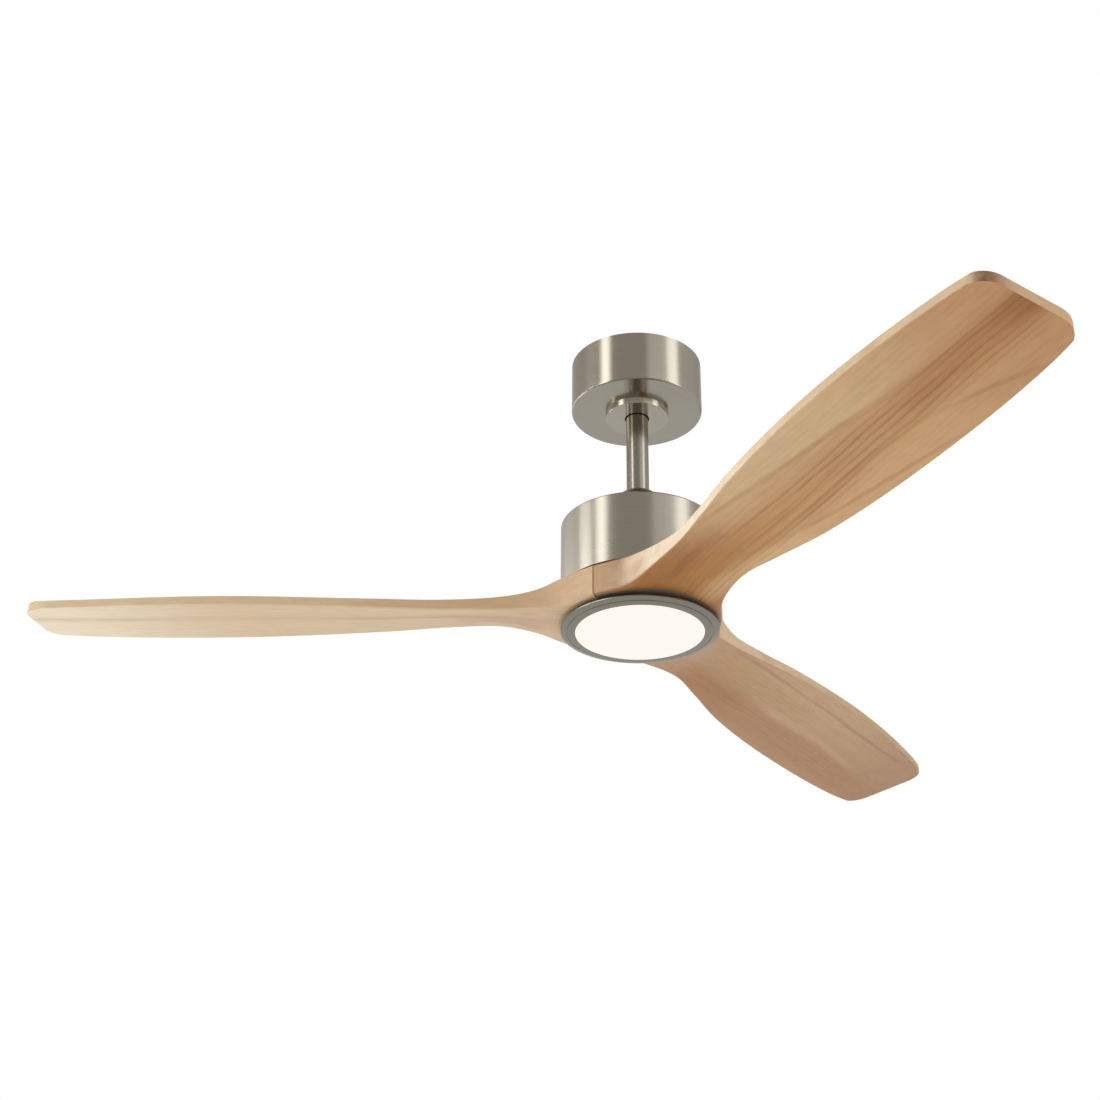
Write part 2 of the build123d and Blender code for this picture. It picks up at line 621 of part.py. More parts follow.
def magnet_ring():
    """Ring magnet inside the rotor's skirt, beside the core."""
    return tube(magnet_r - SLIP / 2, magnet_r - MAGNET_T, plate_bottom, stack_middle - STACK_H / 2)


def shaft_circlip():
    """Spring ring in the shaft's groove, under the lower bearing."""
    top = lower_bearing_bottom - BEARING_END_GAP - SLIP / 2
    ring = tube(SHAFT_R + CIRCLIP_W, SHAFT_R - CIRCLIP_DEPTH + SLIP, top, top - CIRCLIP_T + SLIP)
    mouth = SHAFT_R / 3
    return ring - block((0, -mouth, top - CIRCLIP_T), (2 * SHAFT_R, mouth, top))


def blade_gasket():
    """Rubber ring between the wooden roots and the rotor."""
    under = wood_top + SLIP
    ring = tube(flange_r, HUB_INNER_R, flange_bottom, under)
    ring = drilled(ring, ROTOR_SCREW_R + 2 * SLIP, rotor_screw_places, flange_bottom, under)
    return drilled(ring, BLADE_SCREW_R + SLIP, blade_screw_places, flange_bottom, under)


def rounded_face(corners, radii):
    """Flat face with straight sides and a round of its own at each corner."""
    rounds = []
    for number, corner in enumerate(corners):
        back = (corners[number - 1] - corner).normalized()
        on = (corners[(number + 1) % len(corners)] - corner).normalized()
        half_angle = radians(back.get_angle(on)) / 2
        reach = radii[number] / tan(half_angle)
        middle = (back + on).normalized() * (radii[number] / sin(half_angle) - radii[number])
        rounds.append(ThreePointArc(corner + back * reach, corner + middle, corner + on * reach))
    outline = []
    for number, arc in enumerate(rounds):
        outline += [arc, Line(arc @ 1, rounds[(number + 1) % len(rounds)] @ 0)]
    return make_face(outline)


def all_stations():
    """Stations from inside the hub, where the wood follows the hub's round, out to the tip."""
    stations = []
    for share in (0.22, 0.34, 0.45, 0.57):
        half_width = hub_r * sqrt(1 - share ** 2)
        stations.append((hub_r * share, half_width, half_width, 0.0, PLANK_T))
    for distance, leading, trailing, pitch, thickness in ROOT_STATIONS:
        stations.append((distance * hub_r, leading * hub_r, trailing * hub_r, pitch, thickness * PLANK_T))
    return stations + list(BLADE_STATIONS)


def between_stations(stations, distance):
    """Half widths, pitch and thickness at any distance, on smooth cubic curves through the stations."""
    spans = list(zip(stations, stations[1:]))
    slopes = [[(b - a) / (after[0] - before[0]) for a, b in zip(before, after)] for before, after in spans]
    knots = [slopes[0]]
    for near, far in zip(slopes, slopes[1:]):
        knots.append([(a + b) / 2 for a, b in zip(near, far)])
    knots.append(slopes[-1])
    number = max(index for index, span in enumerate(spans) if span[0][0] <= distance)
    before, after = spans[number]
    length = after[0] - before[0]
    t = (distance - before[0]) / length
    values = []
    for a, b, leave, arrive in zip(before, after, knots[number], knots[number + 1]):
        ends = a * (1 + 2 * t) * (1 - t) ** 2 + b * t ** 2 * (3 - 2 * t)
        values.append(ends + length * t * (1 - t) * (leave * (1 - t) - arrive * t))
    return values


def blade_section(distance, leading, trailing, pitch, thickness):
    """Section across a blade along +X, its leading edge towards -Y and level with the plank's top."""
    depth = thickness / cos(radians(pitch))
    drop = (leading + trailing) * tan(radians(pitch))
    thinnest = BLADE_STATIONS[-1][-1]
    carved = (thickness - thinnest) / (PLANK_T - thinnest)
    lower_r = BLADE_EDGE_R + (HUB_EDGE_R - BLADE_EDGE_R) * carved
    corners = [
        Vector(distance, -leading, wood_top),
        Vector(distance, trailing, wood_top - drop),
        Vector(distance, trailing, wood_top - drop - depth),
        Vector(distance, -leading, wood_top - depth),
    ]
    return rounded_face(corners, [BLADE_EDGE_R, BLADE_EDGE_R, lower_r, lower_r])


def tip_side(column, radius):
    """Half width where a tip corner's round leaves the blade's edge, and how fast the cut closes in from there."""
    stations = all_stations()
    joint = between_stations(stations, TIP_R - radius)[column]
    end = between_stations(stations, TIP_R)[column]
    return joint, (joint - end) / radius + tan(radians(TIP_EASE))


def blade_trim():
    """Prism that cuts a blade's root to its third of the hub and its tip to a square, round-cornered end."""
    apex = Vector(*polar(SEAM_HALF_GAP / sin(radians(sector / 2)), -SEAM_TURN))
    reach = 2 * hub_r
    run = BLADE_STATIONS[-1][0] - BLADE_STATIONS[-2][0]
    leading, leading_slope = tip_side(1, TIP_LEADING_R)
    trailing, trailing_slope = tip_side(2, TIP_TRAILING_R)
    corners = [
        apex,
        apex + Vector(*polar(reach, -leading_seam)),
        Vector(TIP_R - run, -leading - leading_slope * (run - TIP_LEADING_R), 0),
        Vector(TIP_R, -leading + leading_slope * TIP_LEADING_R, 0),
        Vector(TIP_R, trailing - trailing_slope * TIP_TRAILING_R, 0),
        Vector(TIP_R - run, trailing + trailing_slope * (run - TIP_TRAILING_R), 0),
        apex + Vector(*polar(reach, trailing_seam)),
    ]
    prism = extrude(make_face(Polyline(corners, close=True)), 2 * PLANK_T, dir=(0, 0, 1))
    tip_edges = prism.edges().filter_by(Axis.Z).sort_by(Axis.X)[-2:].sort_by(Axis.Y)
    trailing_corner = tip_edges[-1].center()
    prism = fillet(tip_edges[0], TIP_LEADING_R)
    left = prism.edges().filter_by(Axis.Z).sort_by(lambda edge: (edge.center() - trailing_corner).length)
    return Pos(0, 0, wood_top - 1.5 * PLANK_T) * fillet(left[0], TIP_TRAILING_R)


def blade():
    """Carved wooden blade along +X: a thick root sector that thins and twists into a flat blade."""
    stations = all_stations()
    start, end = stations[0][0], stations[-1][0]
    count = round((end - start) / SECTION_STEP)
    distances = [start + (end - start) * number / count for number in range(count)] + [end]
    sections = [blade_section(*between_stations(stations, distance)) for distance in distances]
    wood = loft(sections) & blade_trim()
    wood -= disc(HUB_INNER_R, wood_top + PLANK_T, wood_bottom - PLANK_T)
    for step in (-1, 0, 1):
        x, y, _ = polar(blade_screw_circle, step * BLADE_SCREW_ANGLE - SEAM_TURN)
        wood -= Pos(x, y, 0) * disc(BLADE_SCREW_R + SLIP, wood_top + PLANK_T, counterbore_top)
        wood -= Pos(x, y, 0) * disc(BLADE_COUNTERBORE_R, counterbore_top, wood_bottom - PLANK_T)
    return wood


def blade_screws():
    """Machine screws from under the roots up into the rotor's plate."""
    length = WASHER_T + wood_top - counterbore_top + GASKET_T + ROTOR_PLATE_T
    places = [(x, y, z - WASHER_T) for x, y, z in blade_screw_places]
    return repeated(screw(BLADE_SCREW_R, length), places)


def blade_washers():
    """Washers under the blade screws' heads."""
    ring = tube(BLADE_COUNTERBORE_R - 3 * SLIP, BLADE_SCREW_R + SLIP, 0, -WASHER_T)
    return repeated(ring, blade_screw_places)


def light_pan():
    """Pressed pan on the shaft's end, white inside, dished up into the hub's opening."""
    pan = turned(
        (thread_r + SLIP, dish_top),
        (dish_r - DISH_SLOPE, dish_top),
        (dish_r, pan_top),
        (pan_r, pan_top),
        (pan_r, pan_bottom),
        (dish_r - PAN_T, pan_bottom),
        (dish_r - DISH_SLOPE - PAN_T, dish_ceiling),
        (thread_r + SLIP, dish_ceiling),
    )
    return drilled(pan, LIGHT_SCREW_R + SLIP, light_screw_places, dish_top, dish_ceiling)


def shaft_nut():
    """Hexagon nut that holds the pan on the shaft."""
    nut = Pos(0, 0, nut_bottom) * extrude(RegularPolygon(NUT_R, 6), NUT_H)
    return nut - disc(thread_r + SLIP, dish_ceiling, nut_bottom)


def led_driver():
    """Plastic box of the light's driver, on top of the pan beside the shaft."""
    length, width, height = DRIVER_SIZE
    near = SHAFT_R + DRIVER_SHAFT_GAP
    box = block((-length / 2, near, dish_top), (length / 2, near + width, dish_top + height))
    return fillet(box.edges().filter_by(Axis.Z), DRIVER_SHAFT_GAP / 2)


def led_board():
    """Round board that carries the lamps under the dish."""
    board = tube(led_board_r, NUT_R + 5 * SLIP, dish_ceiling, dish_ceiling - LED_BOARD_T)
    return drilled(board, LIGHT_SCREW_R + SLIP, light_screw_places, dish_ceiling, dish_ceiling - LED_BOARD_T)


def leds():
    """Lamps in two rings under the board."""
    lamp = Box(LED_SIDE, LED_SIDE, LED_H, align=(Align.CENTER, Align.CENTER, Align.MAX))
    lamps = []
    for share, count in LED_ROWS:
        for number in range(count):
            place = Pos(led_board_r * share, 0, dish_ceiling - LED_BOARD_T)
            lamps.append(Rot(0, 0, number * 360 / count) * place * lamp)
    return Compound(lamps)


def diffuser():
    """Opal cover, a shallow cup that drops through the trim ring and rests on its lip."""
    lip_top = trim_bottom + TRIM_LIP_T
    face = trim_bottom + SLIP
    plug_r = bezel_inner_r - SLIP
    lip_r = bezel_inner_r + DIFFUSER_LIP - SLIP
    return turned(
        (0, face),
        (plug_r, face),
        (plug_r, lip_top),
        (lip_r, lip_top),
        (lip_r, lip_top + DIFFUSER_T),
        (plug_r - DIFFUSER_T, lip_top + DIFFUSER_T),
        (plug_r - DIFFUSER_T, face + DIFFUSER_T),
        (0, face + DIFFUSER_T),
    )


def trim_ring():
    """Rounded metal bezel round the light, with a fine groove turned in its face."""
    lip_top = trim_bottom + TRIM_LIP_T
    middle_r = (trim_r + bezel_inner_r) / 2
    middle_z = (trim_edge + trim_bottom) / 2 - TRIM_BULGE
    face = ThreePointArc((trim_r, 0, trim_edge), (middle_r, 0, middle_z), (bezel_inner_r, 0, trim_bottom))
    back = Polyline(
        (bezel_inner_r, 0, trim_bottom),
        (bezel_inner_r, 0, lip_top),
        (bezel_inner_r + DIFFUSER_LIP, 0, lip_top),
        (pan_r - TRIM_SHELF, 0, trim_shelf_z),
        (trim_r, 0, trim_shelf_z),
        (trim_r, 0, trim_edge),
    )
    ring = revolve(make_face([face, back]), Axis.Z)
    groove = face @ BEZEL_GROOVE_SHARE
    cutter = tube(
        groove.X + BEZEL_GROOVE_W / 2, groove.X - BEZEL_GROOVE_W / 2, groove.Z + BEZEL_GROOVE_DEPTH, trim_bottom - TRIM_BULGE
    )
    return ring - cutter


def canopy_screws():
    """Two screws from under the canopy up into the bracket's feet."""
    return repeated(screw(canopy_screw_shank, CANOPY_WALL + SHEET), canopy_screw_places)


def housing_screws():
    """Three screws from inside the housing up into the yoke's flange."""
    return repeated(screw(HOUSING_SCREW_R, HOUSING_WALL + YOKE_FLANGE_T), housing_screw_places)


def light_screws():
    """Three small screws that hold the lamp board to the pan."""
    return repeated(screw(LIGHT_SCREW_R, LED_BOARD_T + PAN_T), light_screw_places)


pieces = {
    "mounting_bracket": mounting_bracket(),
    "canopy": canopy(),
    "canopy_cover": canopy_cover(),
    "canopy_screws": canopy_screws(),
    "receiver_box": receiver_box(),
    "terminal_block": terminal_block(),
    "hanger_ball": hanger_ball(),
    "hanger_pin": hanger_pin(),
    "ball_set_screw": ball_set_screw(),
    "downrod": downrod(),
    "yoke": yoke(),
    "yoke_pin": yoke_pin(),
    "yoke_pin_clip": yoke_pin_clip(),
    "yoke_set_screws": yoke_set_screws(),
    "coupling_cover": coupling_cover(),
    "motor_housing": motor_housing(),
    "housing_screws": housing_screws(),
    "motor_shaft": motor_shaft(),
    "stator_core": stator_core(),
    "stator_coils": stator_coils(),
    "shaft_circlip": shaft_circlip(),
    "rotor_top_cover": rotor_top_cover(),
    "rotor_bottom_cover": rotor_bottom_cover(),
    "rotor_screws": rotor_screws(),
    "magnet_ring": magnet_ring(),
    "upper_bearing": bearing(upper_bearing_top),
    "lower_bearing": bearing(flange_top),
    "blade_gasket": blade_gasket(),
    "blade_screws": blade_screws(),
    "blade_washers": blade_washers(),
    "light_pan": light_pan(),
    "shaft_nut": shaft_nut(),
    "led_driver": led_driver(),
    "led_board": led_board(),
    "leds": leds(),
    "light_screws": light_screws(),
    "diffuser": diffuser(),
    "trim_ring": trim_ring(),
}
one_blade = blade()
for number, angle in enumerate(blade_angles, start=1):
    pieces[f"blade_{number}"] = Rot(0, 0, angle) * one_blade

os.makedirs("parts", exist_ok=True)
for node, piece in pieces.items():
    export_step(piece, os.path.join("parts", node + ".step"))
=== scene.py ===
import bpy
import math
from mathutils import Matrix, Vector

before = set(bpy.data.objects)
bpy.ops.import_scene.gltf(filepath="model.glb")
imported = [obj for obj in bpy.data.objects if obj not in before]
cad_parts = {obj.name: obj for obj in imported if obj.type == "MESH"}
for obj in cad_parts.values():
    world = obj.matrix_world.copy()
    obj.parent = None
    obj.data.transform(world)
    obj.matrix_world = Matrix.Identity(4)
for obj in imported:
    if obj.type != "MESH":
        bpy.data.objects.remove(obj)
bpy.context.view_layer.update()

# Ceiling bracket and the small steel hardware.
# The bracket is folded from strip and screwed to the ceiling. It, the screws, pins, clips, nut and washers
# and the motor shaft are zinc-plated: dull, slightly blue and a little cloudy.


class Wire:
    """One output of a shader node; arithmetic on it adds Math nodes to its tree."""

    def __init__(self, tree, socket=None):
        self.tree = tree
        self.socket = socket

    def add(self, kind, settings=None, inputs=None, output=0):
        """New node in the same tree: its settings first, then the values or links of its sockets."""
        node = self.tree.nodes.new(kind)
        for name, value in (settings or {}).items():
            setattr(node, name, value)
        for name, value in (inputs or {}).items():
            if isinstance(value, Wire):
                self.tree.links.new(value.socket, node.inputs[name])
            else:
                node.inputs[name].default_value = value
        return Wire(self.tree, node.outputs[output])

    def other(self, output):
        """Another output of the same node."""
        return Wire(self.tree, self.socket.node.outputs[output])

    def maths(self, operation, first, second=0.0):
        """Math node on one or two values."""
        return self.add("ShaderNodeMath", {"operation": operation}, {0: first, 1: second})

    def __add__(self, other):
        return self.maths("ADD", self, other)

    def __sub__(self, other):
        return self.maths("SUBTRACT", self, other)

    def __rsub__(self, other):
        return self.maths("SUBTRACT", other, self)

    def __mul__(self, other):
        return self.maths("MULTIPLY", self, other)

    def __truediv__(self, other):
        return self.maths("DIVIDE", self, other)

    def __rtruediv__(self, other):
        return self.maths("DIVIDE", other, self)

    __radd__ = __add__
    __rmul__ = __mul__

    def blend(self, low, high):
        """Colour between two colours, by this value."""
        return self.add("ShaderNodeMix", {"data_type": "RGBA"}, {0: self, 6: low, 7: high}, 2)

    def step(self, start, end):
        """Smooth rise from 0 to 1 as this value goes from start to end."""
        inputs = {"Value": self, "From Min": start, "From Max": end}
        return self.add("ShaderNodeMapRange", {"interpolation_type": "SMOOTHSTEP"}, inputs)

    def parts(self):
        """X, Y and Z of a vector."""
        x = self.add("ShaderNodeSeparateXYZ", {}, {"Vector": self})
        return x, x.other("Y"), x.other("Z")

    def feed(self, name):
        """Let this value, which varies over the surface, drive one of the shader's sockets."""
        self.tree.links.new(self.socket, self.tree.nodes["Principled BSDF"].inputs[name])


def srgb(red, green, blue):
    """Colour from 0-255 screen values."""
    linear = []
    for value in (red / 255, green / 255, blue / 255):
        linear.append(value / 12.92 if value < 0.04045 else ((value + 0.055) / 1.055) ** 2.4)
    return (*linear, 1.0)


def new_finish(name, **constants):
    """New material with constant shader values, and a wire from which its nodes are added."""
    material = bpy.data.materials.new(name)
    material.use_nodes = True
    shader = material.node_tree.nodes["Principled BSDF"]
    for socket, value in constants.items():
        shader.inputs[socket.replace("_", " ")].default_value = value
    return material, Wire(material.node_tree)


def object_point(start, stretch=(1.0, 1.0, 1.0)):
    """The surface point in the fan's own frame, in metres, scaled along each axis."""
    point = start.add("ShaderNodeTexCoord", output="Object")
    return start.add("ShaderNodeVectorMath", {"operation": "MULTIPLY"}, {0: point, 1: stretch})


def noise(start, point, scale, detail=3.0, roughness=0.5):
    """Soft random value from 0 to 1 that varies over the point."""
    inputs = {"Vector": point, "Scale": scale, "Detail": detail, "Roughness": roughness}
    return start.add("ShaderNodeTexNoise", {}, inputs)


def relief(height, strength, distance):
    """Fine relief from a height value; distance is its depth in metres."""
    inputs = {"Height": height, "Strength": strength, "Distance": distance}
    height.add("ShaderNodeBump", {}, inputs).feed("Normal")


def mottled(name, scale, dark, light, stretch=(1.0, 1.0, 1.0), detail=3.0, **constants):
    """New finish whose colour wanders between two tones, and the value by which it does."""
    material, start = new_finish(name, **constants)
    cloud = noise(start, object_point(start, stretch), scale, detail)
    cloud.blend(dark, light).feed("Base Color")
    return material, cloud


def finish_nodes(material, *names):
    """Give a material to CAD pieces."""
    for name in names:
        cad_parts[name].material_slots[0].material = material


zinc, cloud = mottled("zinc_plate", 90.0, srgb(176, 180, 184), srgb(206, 207, 205), Metallic=1.0)
(cloud * 0.2 + 0.25).feed("Roughness")
relief(noise(cloud, object_point(cloud), 900.0), 0.05, 0.0003)
finish_nodes(zinc, "mounting_bracket", "canopy_screws", "hanger_pin", "ball_set_screw", "yoke_pin")
finish_nodes(zinc, "yoke_pin_clip", "yoke_set_screws", "housing_screws", "rotor_screws", "blade_screws")
finish_nodes(zinc, "blade_washers", "shaft_nut", "light_screws", "shaft_circlip", "motor_shaft")

# Receiver box, light driver and terminals inside.
# Injection-moulded in off-white plastic, with the fine spark texture of the mould.
BOX_WHITE = srgb(226, 226, 222)
TERMINAL_IVORY = srgb(232, 226, 206)
GRAIN_SHADE = 0.9


def scaled(colour, factor):
    """Darker or lighter version of a colour."""
    return tuple(factor * value for value in colour[:3]) + (1.0,)


for name, colour, nodes in (
    ("moulded_box", BOX_WHITE, ("receiver_box", "led_driver")),
    ("moulded_terminals", TERMINAL_IVORY, ("terminal_block",)),
):
    moulded, grain = mottled(name, 1400.0, colour, scaled(colour, GRAIN_SHADE), detail=2.0, Roughness=0.45)
    relief(grain, 0.12, 0.0002)
    finish_nodes(moulded, *nodes)

# Hanger ball.
# Moulded in black nylon, satin where the bracket's seat has rubbed it.
nylon, rub = mottled("black_nylon", 60.0, srgb(26, 26, 27), srgb(44, 44, 45))
(0.55 - rub * 0.2).feed("Roughness")
finish_nodes(nylon, "hanger_ball")

# Canopy with its cover, rod, coupling cover and motor housing.
# Spun or drawn steel in satin nickel: brushed round and round on the spun pieces, so the finest lines
# follow each circle, and lengthwise on the rod.
NICKEL_DARK = srgb(166, 160, 148)
NICKEL_LIGHT = srgb(184, 179, 167)
MARKS_OUTWARD = 700.0      # brush marks per metre away from the axis
SPUN_MARKS = (0.4, 700.0)  # brush marks per radian round the axis and per metre of height, when spun
ROD_MARKS = (30.0, 6.0)    # the same two along the rod
QUARTER_TURN = 0.25        # turns the anisotropy, so that it spreads each highlight across the brush marks


def from_axis(start):
    """Distance of the surface point from the fan's upright axis, in metres."""
    x, y, _ = object_point(start).parts()
    return start.maths("SQRT", x * x + y * y)


def brushed(start, marks=SPUN_MARKS):
    """Value of fine brush marks: circles about the fan's axis, or straight lines along the rod."""
    x, y, z = object_point(start).parts()
    round_by, height_by = marks
    turn = start.maths("ARCTAN2", y, x)
    where = {"X": from_axis(start) * MARKS_OUTWARD, "Y": turn * round_by, "Z": z * height_by}
    return noise(start, start.add("ShaderNodeCombineXYZ", {}, where), 1.0, roughness=0.6)


def satin_nickel(name, tone, anisotropy, roughness, smoother_below, marks=SPUN_MARKS, roll=0.0):
    """Brushed nickel, lighter or darker by its tone.

    smoother_below is how much less rough the flat undersides are. roll leans the shading of an upright rim
    downwards, as the rolled edge of thin metal does.
    """
    turned = {"Anisotropic": anisotropy, "Anisotropic_Rotation": QUARTER_TURN}
    nickel, start = new_finish(name, Metallic=1.0, **turned)
    brush = brushed(start, marks)
    cloud = noise(start, object_point(start), 14.0)
    wander = brush * 0.6 + cloud * 0.4
    wander.blend(scaled(NICKEL_DARK, tone), scaled(NICKEL_LIGHT, tone)).feed("Base Color")
    _, _, facing_up = start.add("ShaderNodeTexCoord", output="Normal").parts()
    flat_below = (0.0 - facing_up).step(0.7, 0.95)
    (brush * 0.05 + cloud * 0.04 + (roughness - flat_below * smoother_below)).feed("Roughness")
    if roll:
        upright = 1 - start.maths("ABSOLUTE", facing_up).step(0.3, 0.7)
        lean = start.add("ShaderNodeCombineXYZ", {}, {"Z": upright * -roll})
        surface = start.add("ShaderNodeNewGeometry", output="Normal")
        leaning = start.add("ShaderNodeVectorMath", {"operation": "ADD"}, {0: surface, 1: lean})
        start.add("ShaderNodeVectorMath", {"operation": "NORMALIZE"}, {0: leaning}).feed("Normal")
    return nickel


housing_nickel = satin_nickel("spun_nickel", 1.0, anisotropy=0.6, roughness=0.24, smoother_below=0.10)
finish_nodes(housing_nickel, "motor_housing", "coupling_cover")
canopy_nickel = satin_nickel("canopy_nickel", 1.0, anisotropy=0.6, roughness=0.20, smoother_below=0.05)
finish_nodes(canopy_nickel, "canopy")
# Painted light: the cover's nickel is set a tenth lighter than the housing's.
collar_nickel = satin_nickel(
    "collar_nickel", 1.1, anisotropy=0.3, roughness=0.16, smoother_below=0.02, roll=0.28,
)
finish_nodes(collar_nickel, "canopy_cover")
# Painted shade: the rod's nickel is set a fifth darker than the housing's.
rod_nickel = satin_nickel(
    "drawn_nickel", 0.80, anisotropy=0.0, roughness=0.19, smoother_below=0.0, marks=ROD_MARKS,
)
finish_nodes(rod_nickel, "downrod")

# Yoke and the motor inside the housing.
# Die-cast alloy covers and yoke, a stack of dark core sheets, enamelled copper windings, a black sintered
# magnet ring, two ground steel bearings and a rubber sheet under the blades.
SHEETS = (1.0, 1.0, 2000.0)  # heights are stretched, so that the noise falls into thin layers
TURNS = (1.0, 1.0, 900.0)
cast, skin = mottled("cast_alloy", 260.0, srgb(186, 188, 190), srgb(210, 211, 211), Metallic=1.0)
(skin * 0.2 + 0.4).feed("Roughness")
relief(skin, 0.1, 0.0004)
finish_nodes(cast, "yoke", "rotor_top_cover", "rotor_bottom_cover")

core_tones = (srgb(86, 87, 90), srgb(128, 128, 130))
core, _ = mottled("core_sheets", 1.0, *core_tones, SHEETS, 1.0, Metallic=0.9, Roughness=0.5)
finish_nodes(core, "stator_core")

copper_tones = (srgb(150, 84, 48), srgb(206, 126, 78))
copper, turns = mottled("copper_winding", 1.0, *copper_tones, TURNS, 1.0, Metallic=1.0)
(turns * 0.2 + 0.25).feed("Roughness")
finish_nodes(copper, "stator_coils")

ferrite, _ = mottled("ferrite", 400.0, srgb(38, 38, 40), srgb(58, 58, 60), Roughness=0.6)
finish_nodes(ferrite, "magnet_ring")

steel_tones = (srgb(198, 199, 200), srgb(214, 214, 214))
ground, _ = mottled("ground_steel", 300.0, *steel_tones, Metallic=1.0, Roughness=0.18)
finish_nodes(ground, "upper_bearing", "lower_bearing")

rubber, _ = mottled("rubber_sheet", 500.0, srgb(24, 24, 24), srgb(38, 38, 38), Roughness=0.75)
finish_nodes(rubber, "blade_gasket")

# Three wooden blades.
# Each is carved from one light plank with its grain along the blade, sanded and given a thin matt lacquer.
# A darker stripe of fine growth lines runs down each board, with streaks, stains and pale bands beside it.
LINE_TONE = srgb(140, 83, 32)
DARK_TIP_CORNER = srgb(108, 68, 38)
END_FACE = srgb(216, 172, 128)
PAINTED_HUB_SHADE = srgb(142, 120, 102)
PAINTED_SHADE_R = 0.0885             # the painted shade on the hub's underside reaches just past the light
HUB_R = 0.07                  # the points of a blade this near the axis lie on the hub
MIDDLE = 0.36                 # where along a blade the streaks' places across it are given
END_FADE = 0.04               # a streak fades over this much before and after each end
SWAY = 0.02                   # how far the grain wanders across the blade
ROOT_FADE = (0.11, 0.31)      # the root's tone gives way from here to here along the blade
ROOT_EDGES = (0.01, 0.045)    # and sooner from here to here off the blade's middle line,
TRAILING_SOONER = 0.08        # by this much on the trailing side
LEADING_SOONER = 0.03         # and by this much on the leading side
TIP_FADE = (0.40, 0.66)       # the tip's tone sets in from here to here along the blade
FACE_CHANGE = (-0.05, 0.04)   # the leading tone turns into the trailing one from here to here across it
NECK_SIDES = (0.018, 0.118)   # the carved sides take the neck's tone from here to here along it
TIP_SIDES = (0.18, 0.45)      # and the tip's tone
STAINED_SIDES = (0.05, 0.13)  # and lose most of the hub's stains
DARK_END = (-0.058, -0.018)   # the tip's end face is darker up to here on the leading side
FIBRE_DEPTH = 0.14            # how much lighter and darker the fibres are
MOTTLE_DEPTH = 0.24           # and the mottling
hub_points = [point.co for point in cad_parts["blade_1"].data.vertices if point.co.xy.length < HUB_R]
hub_underside = min(point.z for point in hub_points)


